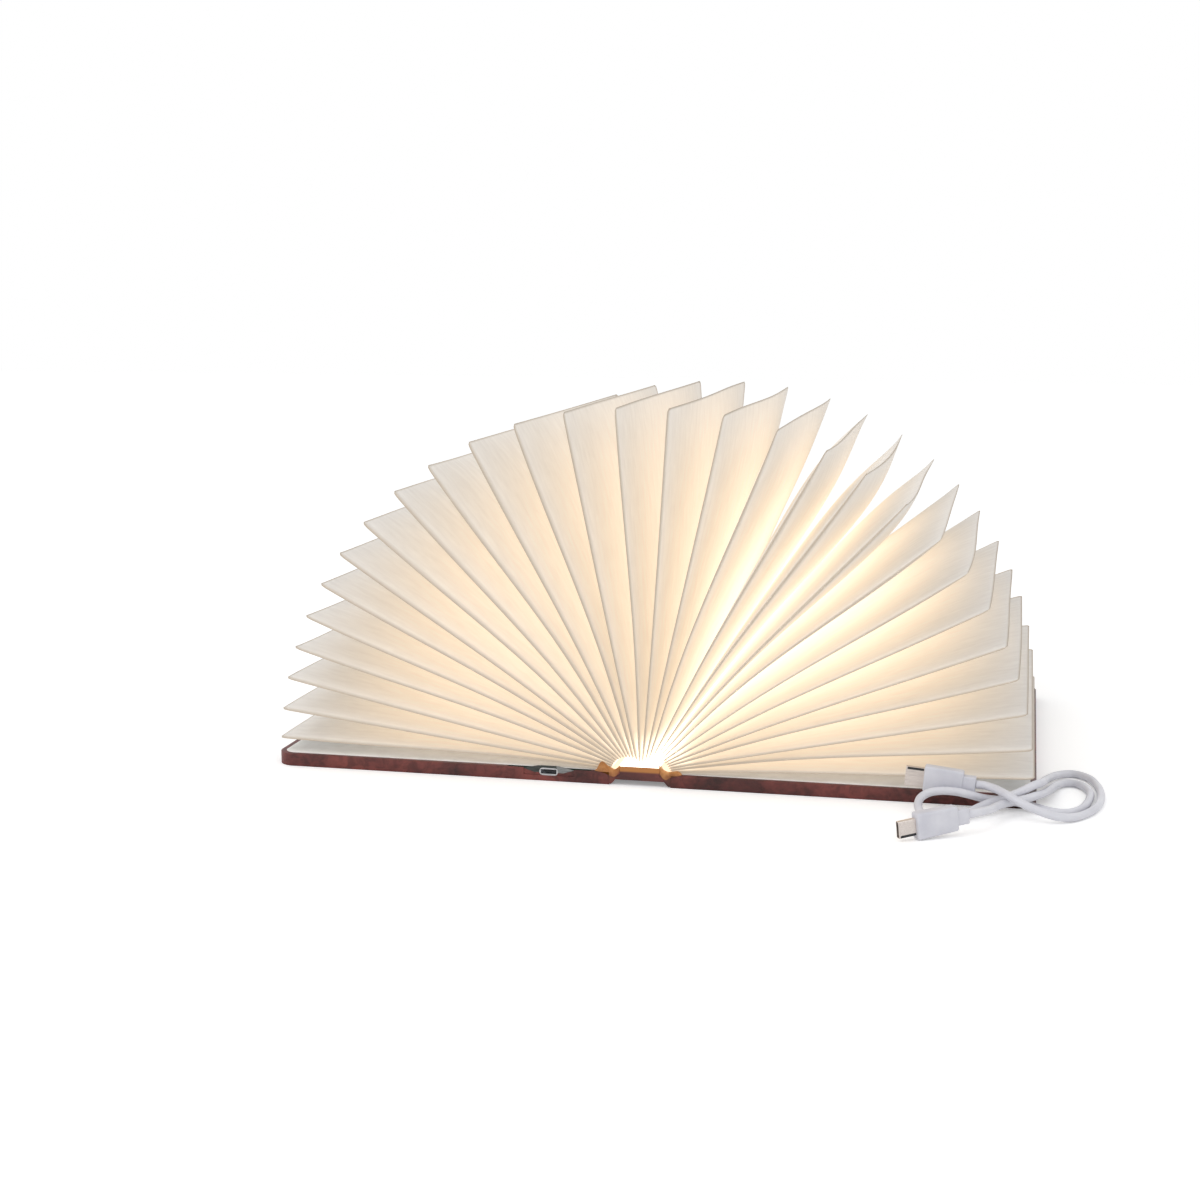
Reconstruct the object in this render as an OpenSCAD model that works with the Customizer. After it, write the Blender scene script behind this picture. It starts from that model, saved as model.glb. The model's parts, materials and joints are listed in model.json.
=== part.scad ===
// Folding book lamp: two hinged covers, a lit spine and a fan of folded paper leaves.
// Origin on the table under the middle of the spine, +Y along the spine, +Z up, lamp wide open.

/* [Covers] */
// Height of the book, along the spine
book_h = 216; // [150:1:260]
// Width of one cover, from the hinge to the fore edge
cover_w = 152; // [130:1:200]
// Thickness of the cover covering material
wrap_t = 0.5; // [0.3:0.1:0.8]
// Thickness of the stiff cover board under the turned-in edge
board_t = 4.6; // [4.4:0.1:6]
// Thickness of the turned-in edge of the covering
turn_t = 0.4; // [0.2:0.1:0.6]
// Width of the turned-in edge
turn_w = 12; // [8:1:20]
// Thickness of the paper liner inside each cover
liner_t = 0.2; // [0.1:0.1:0.4]
// How far the liner stops short of the cover's edges
liner_inset = 2.5; // [1:0.5:5]
// Radius of the corners at the fore edge
corner_r = 8; // [3:1:14]

/* [Spine] */
// Half the width of the spine block at its base
spine_base_half = 10.6; // [10:0.1:11]
// Half the width of the spine block at its top
spine_top_half = 8.6; // [8.2:0.1:9]
// Height of the spine block's base above the table
spine_lift = 2.4; // [1.5:0.1:3]
// Height of the spine block
spine_block_h = 6.6; // [6:0.1:6.8]
// Thickness of the diffuser strip on top of the block
diffuser_t = 0.6; // [0.4:0.1:0.8]
// Distance of each hinge line from the middle of the spine
hinge_x = 7.7; // [7.6:0.1:9]
// Height of each hinge line above the table
hinge_z = 3.8; // [3.6:0.1:4.2]
// Distance from a hinge line to the edge of its cover
hinge_reach = 5.6; // [5.5:0.1:7]

/* [Pages] */
// Folded leaves on each side of the middle
leaves = 14; // [6:1:14]
// Thickness of one folded leaf
leaf_t = 0.32; // [0.2:0.02:0.36]
// Spacing of the leaves when the book is shut
leaf_pitch = 0.4; // [0.36:0.01:0.4]
// Distance from the ends of the book to the ends of the leaves
leaf_end_gap = 2; // [1:0.5:10]
// Corner cut at the outer fold of a leaf
leaf_corner = 3; // [1:0.5:8]
// How far the leaves stop short of the cover's fore edge
leaf_inset = 0.8; // [0.5:0.1:6]
// How much the leaves crowd towards the covers, none at 0
leaf_crowding = 0.33; // [0:0.01:0.5]

/* [Light] */
// Width of the light strip
strip_w = 10; // [8:0.5:10.5]
// Thickness of the light strip
strip_t = 0.3; // [0.2:0.1:0.5]
// Light chips along the strip
chip_count = 14; // [6:1:20]
// Size of a light chip, along the spine, across it and high
chip_size = [3.5, 2.8, 0.8];
// Width of the ribbon lead to the light strip
ribbon_w = 5; // [3:0.5:6]
// Distance of the ribbon lead from the inner end of the circuit board
ribbon_edge = 3.3; // [2:0.1:5]

/* [Battery and circuit] */
// Battery, across the cover, along the spine and thick
battery_size = [60, 40, 3.9];
// Distance of the battery's middle from the middle of the spine
battery_x = 82; // [75:1:100]
// Distance between the circuit board and the battery
battery_gap = 6.2; // [4:0.1:12]
// Width of the battery's tab
tab_w = 12; // [8:0.5:20]
// First battery wire from the outer edge of the circuit board
wire_edge = 3; // [3:0.1:6]
// Circuit board, across the cover, along the spine and thick
circuit_size = [36, 43, 1];
// Room left round the battery and the circuit board in their pockets
pocket_gap = 0.5; // [0.2:0.1:1]

/* [Charging port] */
// Distance of the port from the middle of the spine
port_x = 40; // [38:1:46]
// Outside width of the port shell
port_w = 7.5; // [7:0.1:9]
// Outside height of the port shell
port_h = 2.6; // [2.4:0.1:2.6]
// Depth of the port shell
port_depth = 5.5; // [5:0.1:7]
// Wall of the port shell
port_wall = 0.3; // [0.2:0.05:0.4]
// Thickness of the tongue in the port
tongue_t = 0.6; // [0.4:0.1:0.8]
// Half the length of the tapered metal bezel
bezel_half = 11; // [8:0.5:14]

/* [Magnets] */
// Diameter of the closing magnets
magnet_d = 10; // [6:1:12]
// Thickness of the closing magnets
magnet_t = 2; // [1:0.1:2]
// Distance of the closing magnets from the fore edge
magnet_edge = 8; // [7.5:0.5:12]
// Distance of the closing magnets from the ends of the book
magnet_end = 38; // [20:1:60]
// Diameter of the magnet that switches the light
switch_d = 6; // [4:1:8]
// Distance of that magnet from the end of the book
switch_end = 18; // [16:0.5:19]

/* [Charging lead] */
// Diameter of the charging cord
cord_d = 3.4; // [2.5:0.1:3.6]
// Length of a plug's metal shell
shell_len = 7.5; // [6:0.1:9]
// Length of the wide plug's grip
wide_grip_len = 16; // [14:0.5:17]
// Length of the narrow plug's grip
narrow_grip_len = 18; // [14:0.5:18]
// Width of a plug's grip
grip_w = 10.8; // [9:0.1:12]
// Thickness of a plug's grip
grip_t = 5.4; // [4.5:0.1:6]
// Length of the neck behind the grip
neck_len = 5; // [4:0.5:6]
// Width of the neck where the cord leaves it
neck_w = 4.8; // [4:0.1:6]
// Thickness of the neck where the cord leaves it
neck_t = 4; // [3.8:0.1:4.4]
// Metal shell of the wide plug, wide and thick
wide_shell = [8.2, 2.6];
// Metal shell of the narrow plug, wide and thick
narrow_shell = [6.8, 2.2];

/* [Hidden] */

$fn = 48;
touch = 0.05;                                   // gap left between pieces that are glued together
over = 1;                                       // how far a cut runs past the face that it opens
cover_in = hinge_x + hinge_reach;               // edge of a cover at the hinge
cover_out = cover_in + cover_w;                 // fore edge of a cover
board_top = wrap_t + board_t;                   // underside of the turned-in edge
turn_top = board_top + turn_t;                  // seat of the liner
cover_t = turn_top + liner_t;                   // whole cover
spine_top = spine_lift + spine_block_h;         // top of the diffuser
bar_top = spine_top - diffuser_t;               // rim of the light bar
card_top = spine_lift + 3;                      // top of the card in the spine
shoulder_low = spine_lift + 1;                  // where the block starts to narrow
shoulder_high = spine_lift + 2.6;               // where it has its top width
channel_floor = card_top + 0.9;                 // floor of the light bar's channel
channel_half = strip_w / 2 + 0.6;               // half the width of that channel
strip_top = channel_floor + strip_t;            // top of the light strip
leaf_out = hinge_reach + cover_w - leaf_inset;  // outer fold of a leaf, from its hinge line
leaf_len = book_h - 2 * leaf_end_gap;           // a leaf's length, along the spine
ribbon_z = strip_top + touch;                   // underside of the ribbon where it leaves the strip
ribbon_t = 0.3;                                 // thickness of the ribbon
slot_z = board_top - 0.7;                       // ribbon's slot in the cover's edge
circuit_in = port_x - circuit_size[0] / 2;      // circuit board's edge nearest the spine
circuit_tail = -book_h / 2 + wrap_t + 0.3;      // circuit board's edge at the port
circuit_top = turn_top - 0.1 - port_h;          // face that carries the port
port_z = circuit_top + port_h / 2;              // middle of the port
circuit_end = circuit_tail + circuit_size[1];   // circuit board's edge at the battery
ribbon_y = circuit_end - ribbon_edge - ribbon_w / 2;    // middle of the ribbon lead
battery_tail = circuit_end + battery_gap;       // battery's edge at the circuit board
battery_at = [battery_x, battery_tail + battery_size[1] / 2];
cell_z = turn_top - 0.1 - battery_size[2];      // underside of the battery
wire_at = circuit_in + circuit_size[0] - wire_edge;     // first of the battery's two wires
wire_step = 1.6;
wire_size = [1.2, 1.1];
tab_at = wire_at - 1;                           // where the battery's tab starts
tab_size = [tab_w, 0.4, battery_size[2] - 1];
strip_end = 4;                                  // light strip's end from the end of the book
chip_end = 10;                                  // end of the row of chips from the end of the book

// Plan of a cover, grown or shrunk by d, with round corners at the fore edge only.
module cover_plan(d = 0) {
    r = max(corner_r - d, 1);
    w = cover_w - 2 * d;
    h = book_h - 2 * d;
    translate([cover_in + d, -h / 2]) {
        square([w - r, h]);
        translate([0, r]) square([w, h - 2 * r]);
        for (y = [r, h - r]) translate([w - r, y]) circle(r);
    }
}

module slab(low, high, d = 0) {
    translate([0, 0, low]) linear_extrude(high - low) cover_plan(d);
}

// A box given by its middle across and along the cover, its size and its underside.
module block(at, size, low) {
    translate([at[0] - size[0] / 2, at[1] - size[1] / 2, low]) cube(size);
}

module port_notch() {
    block([port_x, -book_h / 2],
          [2 * bezel_half + 0.2, 2 * (wrap_t + 0.1), cover_t], port_z - port_h / 2 - 0.3);
}

module cover_wrap(with_port) {
    difference() {
        slab(0, turn_top);
        slab(wrap_t, board_top, wrap_t);
        slab(board_top - touch, turn_top + over, turn_w);
        if (with_port) {
            port_notch();
            ribbon_slot();
            translate([circuit_in - pocket_gap, circuit_tail - pocket_gap / 2, board_top - touch])
                cube([circuit_size[0] + 2 * pocket_gap, turn_w + over, cover_t]);
        }
    }
}

module ribbon_slot() {
    translate([cover_in - over, ribbon_y - ribbon_w / 2 - 0.3, slot_z - 0.1])
        cube([circuit_in - cover_in + 2 * over, ribbon_w + 0.6, ribbon_t + 0.2]);
}

module magnet_places() {
    for (side = [-1, 1])
        translate([cover_out - magnet_edge, side * (book_h / 2 - magnet_end), 0]) children();
}

// The magnets lie in blind pockets, just under the turned-in edge.
module magnet_disc(d) {
    translate([0, 0, board_top - 0.1 - magnet_t]) cylinder(d = d, h = magnet_t);
}

module magnet_pocket(d) {
    translate([0, 0, board_top - 0.2 - magnet_t]) cylinder(d = d + 0.2, h = magnet_t + 0.2 + over);
}

module switch_place() {
    translate([port_x + 2, -book_h / 2 + switch_end, 0]) children();
}

module cover_board() {
    slab(wrap_t, board_top, wrap_t);
    slab(board_top - touch, turn_top, turn_w);
}

module front_pockets() {
    battery_room = [for (i = [0, 1]) battery_size[i] + 2 * pocket_gap];
    circuit_room = [for (i = [0, 1]) circuit_size[i] + 2 * pocket_gap];
    block(battery_at, [battery_room[0], battery_room[1], cover_t], cell_z - 0.1);
    block([port_x, (circuit_tail + circuit_end) / 2],
          [circuit_room[0], circuit_room[1] + over, cover_t], circuit_top - circuit_size[2]);
    translate([wire_at - over, circuit_end - over, circuit_top])
        cube([wire_step + wire_size[0] + 2 * over, battery_gap + 2 * over, cover_t]);
    ribbon_slot();
}

module front_side() {
    mirror([1, 0, 0]) children();
}

// Spine

function spine_side() = [[spine_base_half, spine_lift], [spine_base_half, shoulder_low],
    [spine_top_half, shoulder_high], [spine_top_half, bar_top]];

function both_sides(half) = concat(half, [for (i = [len(half) - 1 : -1 : 0]) [-half[i][0], half[i][1]]]);

// A profile drawn across the book, run along the spine and centred on it.
module along_spine(length) {
    rotate([90, 0, 0]) linear_extrude(length, center = true) children();
}

module ribbon_notch() {
    translate([0, ribbon_y - ribbon_w / 2 - 0.3, ribbon_z - touch])
        cube([spine_top_half + over + 0.3, ribbon_w + 0.6, spine_block_h]);
}

module spine_wrap() {
    color("#5a2c2c") difference() {
        along_spine(book_h) polygon(both_sides(spine_side()));
        along_spine(book_h - 2 * wrap_t) polygon(both_sides([
            [spine_base_half - wrap_t, spine_lift + wrap_t], [spine_base_half - wrap_t, shoulder_low - 0.2],
            [spine_top_half - wrap_t, shoulder_high - 0.2], [spine_top_half - wrap_t, bar_top + over]]));
        front_side() ribbon_notch();
    }
}

module spine_board() {
    color("#8f8577") along_spine(book_h - 2 * wrap_t - 0.2) polygon(both_sides([
        [spine_base_half - wrap_t, spine_lift + wrap_t], [spine_base_half - wrap_t, shoulder_low - 0.25],
        [spine_top_half - wrap_t - 0.1, shoulder_high - 0.25], [spine_top_half - wrap_t - 0.1, card_top]]));
}

module light_bar() {
    outer = spine_top_half - wrap_t - touch;
    color("#f2f0ea") difference() {
        along_spine(book_h - 2 * wrap_t - 0.2)
            translate([-outer, card_top]) square([2 * outer, bar_top - card_top]);
        along_spine(book_h - 2 * strip_end + 2)
            translate([-channel_half, channel_floor]) square([2 * channel_half, spine_block_h]);
        front_side() ribbon_notch();
    }
}

module led_strip() {
    color("#e9e7dc") along_spine(book_h - 2 * strip_end)
        translate([-strip_w / 2, channel_floor]) square([strip_w, strip_t]);
}

module led_chips() {
    step = (book_h - 2 * chip_end) / chip_count;
    color("#ffe9a8") for (i = [0 : chip_count - 1])
        block([0, (i - (chip_count - 1) / 2) * step], [chip_size[1], chip_size[0], chip_size[2]], strip_top);
}

module diffuser() {
    color("#fff7e0") along_spine(book_h)
        translate([-spine_top_half, bar_top]) square([2 * spine_top_half, diffuser_t]);
}

// Flexible strip that joins the spine to a cover: a valley of leather, lined on its upper side.
valley_z = hinge_z + 0.2;
function valley() = [[spine_top_half + 0.6, bar_top], [spine_top_half + 1.1, bar_top - 2],
    [cover_in - 2.7, valley_z + 0.6], [cover_in - 1.7, valley_z], [cover_in - 0.7, valley_z + 0.4],
    [cover_in - touch, turn_top]];

module hinge_strip() {
    along_spine(book_h) polygon(concat(
        [[spine_top_half + touch, bar_top]], valley(),
        [[cover_in - touch, 0.2], [cover_in - 0.9, 0.5], [cover_in - 1.7, 1.3],
         [spine_base_half + touch, spine_lift - 0.2], [spine_base_half + touch, shoulder_low],
         [spine_top_half + touch, shoulder_high + 0.05]]));
}

module back_hinge() { color("#9a5a33") hinge_strip(); }

module front_hinge() {
    color("#9a5a33") front_side() difference() {
        hinge_strip();
        ribbon_notch();
        ribbon_slot();
    }
}

// Ribbon from the light strip, over the hinge and into the front cover.
function ribbon_line() = [[strip_w / 2 - 1, ribbon_z], [spine_top_half + 1.15, ribbon_z],
    [cover_in - 2.6, valley_z + 0.75], [cover_in - 1.7, valley_z + 0.15],
    [cover_in - 0.75, slot_z], [circuit_in + 4, slot_z]];

module light_lead() {
    line = ribbon_line();
    color("#c8702a") front_side() translate([0, ribbon_y, 0]) along_spine(ribbon_w)
        polygon(concat(line, [for (i = [len(line) - 1 : -1 : 0]) [line[i][0], line[i][1] + ribbon_t]]));
}

// Front cover, at -X, with the battery and the circuit

module front_wrap() { color("#4a2422") front_side() cover_wrap(true); }

module front_board() {
    color("#8f8577") front_side() difference() {
        cover_board();
        magnet_places() magnet_pocket(magnet_d);
        front_pockets();
        port_notch();
    }
}

module liner() {
    translate([0, 0, turn_top]) linear_extrude(liner_t) cover_plan(liner_inset);
    translate([cover_in + 0.3, -book_h / 2 + liner_inset, turn_top])
        cube([liner_inset, book_h - 2 * liner_inset, liner_t]);
}

module front_liner() { color("#f4efe2") front_side() liner(); }

module front_magnets() { color("#c9ccd0") front_side() magnet_places() magnet_disc(magnet_d); }

module battery() {
    color("#b9bec6") front_side() {
        block(battery_at, battery_size, cell_z);
        translate([tab_at, battery_tail - tab_size[1], cell_z + 0.5]) cube(tab_size);
    }
}

module battery_lead() {
    low = circuit_end - 3;
    high = battery_tail - tab_size[1] - touch;
    color("#b03030") front_side() for (x = [wire_at, wire_at + wire_step])
        translate([x, low, circuit_top + touch]) cube([wire_size[0], high - low, wire_size[1]]);
}

module circuit_board() {
    color("#2f6b3c") front_side()
        translate([circuit_in, circuit_tail, circuit_top - circuit_size[2] + touch]) cube(circuit_size);
}

// Parts on the circuit board: place from the port's axis and from the board's edge at the port, then size.
board_chips = concat(
    [[[-6, 19], [4, 4, 1]], [[10, 23], [4.4, 4.4, 1.8]], [[-6, 29], [3, 1.6, 0.9]]],
    [for (i = [0 : 3]) [[2 + 2.4 * i, 33], [1, 1.8, 0.7]]]);
sensor_size = [3, 3, 1.1];
plate_size = [5, ribbon_w + 1];

module board_parts() {
    low = circuit_top + touch;
    color("#2b2b2e") front_side() {
        block([circuit_in + plate_size[0] / 2 + 0.1, ribbon_y],
              [plate_size[0], plate_size[1], slot_z - low - touch], low);
        for (c = board_chips) block([port_x + c[0][0], circuit_tail + c[0][1]], c[1], low);
        switch_place() block([0, 0], sensor_size, low);
    }
}

module charge_socket() {
    color("#c4c6ca") front_side() difference() {
        block([port_x, -book_h / 2 + port_depth / 2 + 0.1],
              [port_w, port_depth, port_h - touch], circuit_top + touch);
        block([port_x, -book_h / 2 + port_depth / 2 - port_wall],
              [port_w - 2 * port_wall, port_depth, port_h - touch - 2 * port_wall],
              circuit_top + touch + port_wall);
    }
}

module socket_tongue() {
    color("#1d1d20") front_side()
        block([port_x, -book_h / 2 + port_depth / 2 + 0.5],
              [port_w - 2, port_depth - 1.6, tongue_t], port_z - tongue_t / 2);
}

module socket_bezel() {
    high = turn_top + liner_t;
    low = port_z - port_h / 2 - 0.2;
    color("#8d9093") front_side() difference() {
        translate([port_x, -book_h / 2 + 0.6, 0]) rotate([90, 0, 0]) linear_extrude(0.6)
            polygon([[-bezel_half, low], [bezel_half, low], [bezel_half, low + 0.6],
                     [port_w / 2 + 1.2, high], [-port_w / 2 - 1.2, high], [-bezel_half, low + 0.6]]);
        block([port_x, -book_h / 2], [port_w + 2 * touch, 4, port_h + touch], port_z - port_h / 2);
    }
}

// Back cover, at +X

module back_wrap() { color("#4a2422") cover_wrap(false); }

module back_board() {
    color("#8f8577") difference() {
        cover_board();
        magnet_places() magnet_pocket(magnet_d);
        switch_place() magnet_pocket(switch_d);
    }
}

module back_liner() { color("#f4efe2") liner(); }

module back_magnets() { color("#c9ccd0") magnet_places() magnet_disc(magnet_d); }

module switch_magnet() { color("#c9ccd0") switch_place() magnet_disc(switch_d); }

// Pages. Leaf 1 is next to the cover and the last one stands beside the middle.

function leaf_share(i) = (i - 0.5) / leaves;

function leaf_angle(i) = 90 * leaf_share(i) * (1 - leaf_crowding * (1 - leaf_share(i)));

// Distance of a leaf from its hinge line, square to the leaf, which shuts it into its place in the stack.
function leaf_offset(i) = hinge_x - (leaves - i + 0.5) * leaf_pitch;

module leaf(i) {
    half = leaf_len / 2;
    c = leaf_corner;
    translate([hinge_x, 0, hinge_z]) rotate([0, -leaf_angle(i), 0])
        translate([0, 0, leaf_offset(i) - leaf_t / 2]) linear_extrude(leaf_t)
            polygon([[hinge_reach, -half], [leaf_out - c, -half], [leaf_out, -half + c],
                     [leaf_out, half - c], [leaf_out - c, half], [hinge_reach, half]]);
}

module front_leaf(i) { color("#fbf3df") front_side() leaf(i); }

module back_leaf(i) { color("#fbf3df") leaf(i); }

// Charging lead: two plugs that stand on their narrow sides, joined by a cord laid in two loops.
function plug_len(grip_len) = shell_len + grip_len + neck_len;
wide_tip = [112.5, -114, 13.2];
wide_dip = 4.5;
wide_dir = [cos(wide_dip), 0, -sin(wide_dip)];
narrow_tip = [113, -165, 4.7];
narrow_rise = 6;
narrow_turn = 32;
narrow_dir = [cos(narrow_rise) * cos(narrow_turn), cos(narrow_rise) * sin(narrow_turn), sin(narrow_rise)];
wide_end = wide_tip + plug_len(wide_grip_len) * wide_dir;
narrow_end = narrow_tip + plug_len(narrow_grip_len) * narrow_dir;

straight = 4;                                   // stretch of cord that leaves each plug straight

route = concat(
    [wide_end, wide_end + straight * wide_dir],
    [[149.5, -117.9, 10.3], [154, -123.4, 9.6], [158.5, -126.3, 7.9], [163, -127.6, 6.3], [168, -127.8, 4.5],
     [173.5, -126.6, 2.9], [179.5, -122.8, 1.9], [185.2, -115, 1.7], [189.6, -103.5, 1.7], [191.5, -90, 1.7],
     [191.2, -75.5, 1.7], [188.9, -63, 1.7], [185.9, -56.6, 1.7], [181.6, -53.2, 1.7], [177.1, -54.4, 1.8],
     [173.4, -60.2, 2.4], [170.3, -71.5, 3.9], [168.5, -84.5, 6.3], [167.8, -97, 9.1], [166.9, -106.6, 11.1],
     [163.9, -112, 11.3], [159.5, -114, 9.3], [154.7, -114.8, 7], [150.3, -116.6, 5.8], [146.3, -119.6, 4.9],
     [142.3, -124, 3.9], [137.5, -129.8, 2.9], [131.5, -134.8, 2], [125.7, -136, 1.7], [121, -132.8, 2.2],
     [118.7, -127.6, 3.8], [119.2, -123, 6.2], [122.8, -120.6, 8.2], [128.2, -119.6, 9], [134, -119.2, 8.7],
     [139.2, -118.3, 7.5], [144.3, -115.2, 5.6], [149.5, -112, 4.4], [155, -110.6, 3.7], [160.5, -110.8, 2.9],
     [166, -112.6, 2.2], [171.5, -115.4, 1.8], [176.6, -115.9, 1.7], [181, -112.5, 1.7], [184.3, -105.5, 1.7],
     [186.5, -95, 1.7], [187.3, -84, 1.7], [185.8, -75.5, 1.7], [183.2, -70.6, 1.7], [180.2, -68.8, 1.7],
     [177.2, -69.8, 1.8], [174.9, -73.6, 2.2], [172.9, -80, 3], [171.4, -88.5, 4.1], [169.9, -98, 5.5],
     [168.3, -107, 7], [165.3, -113.4, 7.5], [161, -116.6, 6.8], [156.5, -118.6, 5.9], [152.6, -123, 6],
     [149.4, -129, 6.2], [147.4, -135.6, 6.8]],
    [narrow_end + straight * narrow_dir, narrow_end]);

function unit(v) = v / norm(v);

function along(p, i) = unit(p[min(i + 1, len(p) - 1)] - p[max(i - 1, 0)]);

function ring(p, i, sides) =
    let (t = along(p, i), s = unit(cross(t, [0, 0, 1])), u = cross(s, t))
    [for (k = [0 : sides - 1]) p[i] + cord_d / 2 * (cos(360 * k / sides) * s + sin(360 * k / sides) * u)];

module tube(p, sides = 8) {
    n = len(p);
    points = [for (i = [0 : n - 1]) each ring(p, i, sides)];
    walls = [for (i = [0 : n - 2], k = [0 : sides - 1])
        let (a = i * sides + k, b = i * sides + (k + 1) % sides)
        [a, a + sides, b + sides, b]];
    ends = [[for (k = [0 : sides - 1]) k], [for (k = [sides - 1 : -1 : 0]) (n - 1) * sides + k]];
    polyhedron(points, concat(walls, ends), convexity = 10);
}

module cord() { color("#e6e6ea") tube(route); }

// A plug lies along +X from the tip of its shell, its width upright.
module plug_shell(size) {
    hollow = [size[0] - 2 * port_wall, size[1] - 2 * port_wall];
    difference() {
        translate([0, -size[1] / 2, -size[0] / 2]) cube([shell_len, size[1], size[0]]);
        translate([-over, -hollow[1] / 2, -hollow[0] / 2]) cube([shell_len, hollow[1], hollow[0]]);
    }
}

function both_edges(half) = concat(half, [for (i = [len(half) - 1 : -1 : 0]) [half[i][0], -half[i][1]]]);

module plug_grip(grip_len) {
    grip_end = shell_len + grip_len;
    neck_end = plug_len(grip_len);
    intersection() {
        rotate([90, 0, 0]) linear_extrude(grip_t, center = true) polygon(both_edges([
            [shell_len, grip_w / 2 - 0.4], [shell_len + 0.8, grip_w / 2], [grip_end - 0.8, grip_w / 2 - 0.5],
            [grip_end, grip_w / 2 - 1.3], [grip_end, neck_w / 2 + 0.5], [neck_end, neck_w / 2]]));
        linear_extrude(grip_w + over, center = true) polygon(both_edges([
            [shell_len, grip_t / 2 - 0.4], [shell_len + 0.8, grip_t / 2], [grip_end - 0.8, grip_t / 2],
            [grip_end, neck_t / 2 + 0.2], [neck_end, neck_t / 2]]));
    }
}

module wide_place() { translate(wide_tip) rotate([0, wide_dip, 0]) children(); }

module narrow_place() { translate(narrow_tip) rotate([0, -narrow_rise, narrow_turn]) children(); }

module wide_plug_shell() { color("#d8cdc8") wide_place() plug_shell(wide_shell); }

module wide_plug_grip() { color("#d4d4dc") wide_place() plug_grip(wide_grip_len); }

module narrow_plug_shell() { color("#d8cdc8") narrow_place() plug_shell(narrow_shell); }

module narrow_plug_grip() { color("#d4d4dc") narrow_place() plug_grip(narrow_grip_len); }

spine_wrap();
spine_board();
light_bar();
led_strip();
led_chips();
diffuser();
front_hinge();
back_hinge();
light_lead();
front_wrap();
front_board();
front_liner();
front_magnets();
battery();
battery_lead();
circuit_board();
board_parts();
charge_socket();
socket_tongue();
socket_bezel();
back_wrap();
back_board();
back_liner();
back_magnets();
switch_magnet();
cord();
wide_plug_shell();
wide_plug_grip();
narrow_plug_shell();
narrow_plug_grip();
for (i = [1 : leaves]) front_leaf(i);
for (i = [1 : leaves]) back_leaf(i);
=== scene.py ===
import json
import math
import random

import bmesh
import bpy
from mathutils import Matrix, Vector


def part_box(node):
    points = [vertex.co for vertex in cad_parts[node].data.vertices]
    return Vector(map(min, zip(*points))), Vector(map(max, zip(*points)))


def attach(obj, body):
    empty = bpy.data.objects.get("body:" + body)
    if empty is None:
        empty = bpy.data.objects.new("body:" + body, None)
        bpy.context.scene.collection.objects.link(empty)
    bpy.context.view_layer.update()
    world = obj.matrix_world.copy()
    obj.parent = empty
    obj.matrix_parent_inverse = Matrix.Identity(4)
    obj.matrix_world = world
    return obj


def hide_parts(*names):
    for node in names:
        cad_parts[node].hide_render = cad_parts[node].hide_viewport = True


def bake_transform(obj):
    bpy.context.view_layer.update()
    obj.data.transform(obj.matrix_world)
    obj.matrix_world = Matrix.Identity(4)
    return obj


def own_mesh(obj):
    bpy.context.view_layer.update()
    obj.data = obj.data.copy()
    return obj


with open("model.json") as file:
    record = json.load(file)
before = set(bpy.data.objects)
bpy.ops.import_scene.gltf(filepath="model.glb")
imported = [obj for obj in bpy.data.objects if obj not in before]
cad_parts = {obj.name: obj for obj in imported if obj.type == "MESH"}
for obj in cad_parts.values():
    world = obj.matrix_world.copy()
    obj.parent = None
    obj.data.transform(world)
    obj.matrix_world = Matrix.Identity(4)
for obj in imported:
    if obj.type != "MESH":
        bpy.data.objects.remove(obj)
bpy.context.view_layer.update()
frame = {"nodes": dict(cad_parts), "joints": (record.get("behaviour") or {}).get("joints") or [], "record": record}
nodes = frame["nodes"]
ratios = {pair["joint"]: pair["ratio"] for pair in frame["record"]["behaviour"]["couplings"]}
joints = {joint["name"]: joint for joint in frame["joints"]}
mm = 0.001
scene = bpy.context.scene
outwards = {"front": -1, "back": 1}  # the way each cover lies from the spine

# sizes that several pieces share, read from the frame
coverLow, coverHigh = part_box("back_wrap")
coverIn = coverLow.x
coverOut = coverHigh.x
bookEnd = coverHigh.y
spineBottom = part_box("spine_wrap")[0].z
hingeX = abs(joints["back_cover_hinge"]["pos_m"][0])
hingeZ = joints["back_cover_hinge"]["pos_m"][2]
print("frame loaded:", len(nodes), "nodes")


# ---- camera

cameraSetup = {"place": (0.1559, -0.8795, 0.2160), "tiltDown": 9.75, "turn": 12.65, "lens": 57.03,
               "sensor": 36}


def makeCamera(setup):
    camera = bpy.data.objects.new("camera", bpy.data.cameras.new("camera"))
    camera.location = setup["place"]
    camera.rotation_euler = (math.radians(90 - setup["tiltDown"]), 0, math.radians(setup["turn"]))
    camera.data.lens = setup["lens"]
    camera.data.sensor_width = setup["sensor"]
    scene.collection.objects.link(camera)
    scene.camera = camera


makeCamera(cameraSetup)


# ---- helpers for shapes

def addObject(name, data):
    piece = bpy.data.objects.new(name, data)
    scene.collection.objects.link(piece)
    return piece


def finishMesh(name, bm, materials, smooth=True):
    mesh = bpy.data.meshes.new(name)
    bm.to_mesh(mesh)
    bm.free()
    for material in materials:
        mesh.materials.append(material)
    if smooth:
        mesh.shade_smooth()
    return addObject(name, mesh)


def softenEdges(piece, width, segments=3, angle=35):
    bevel = piece.modifiers.new("softEdges", "BEVEL")
    bevel.width = width
    bevel.segments = segments
    bevel.limit_method = "ANGLE"
    bevel.angle_limit = math.radians(angle)
    bevel.harden_normals = True


def mergedCopy(node):
    bm = bmesh.new()
    bm.from_mesh(nodes[node].data)
    bmesh.ops.remove_doubles(bm, verts=bm.verts, dist=0.002 * mm)
    bmesh.ops.dissolve_limit(bm, angle_limit=math.radians(1), verts=bm.verts, edges=bm.edges)
    return bm


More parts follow.
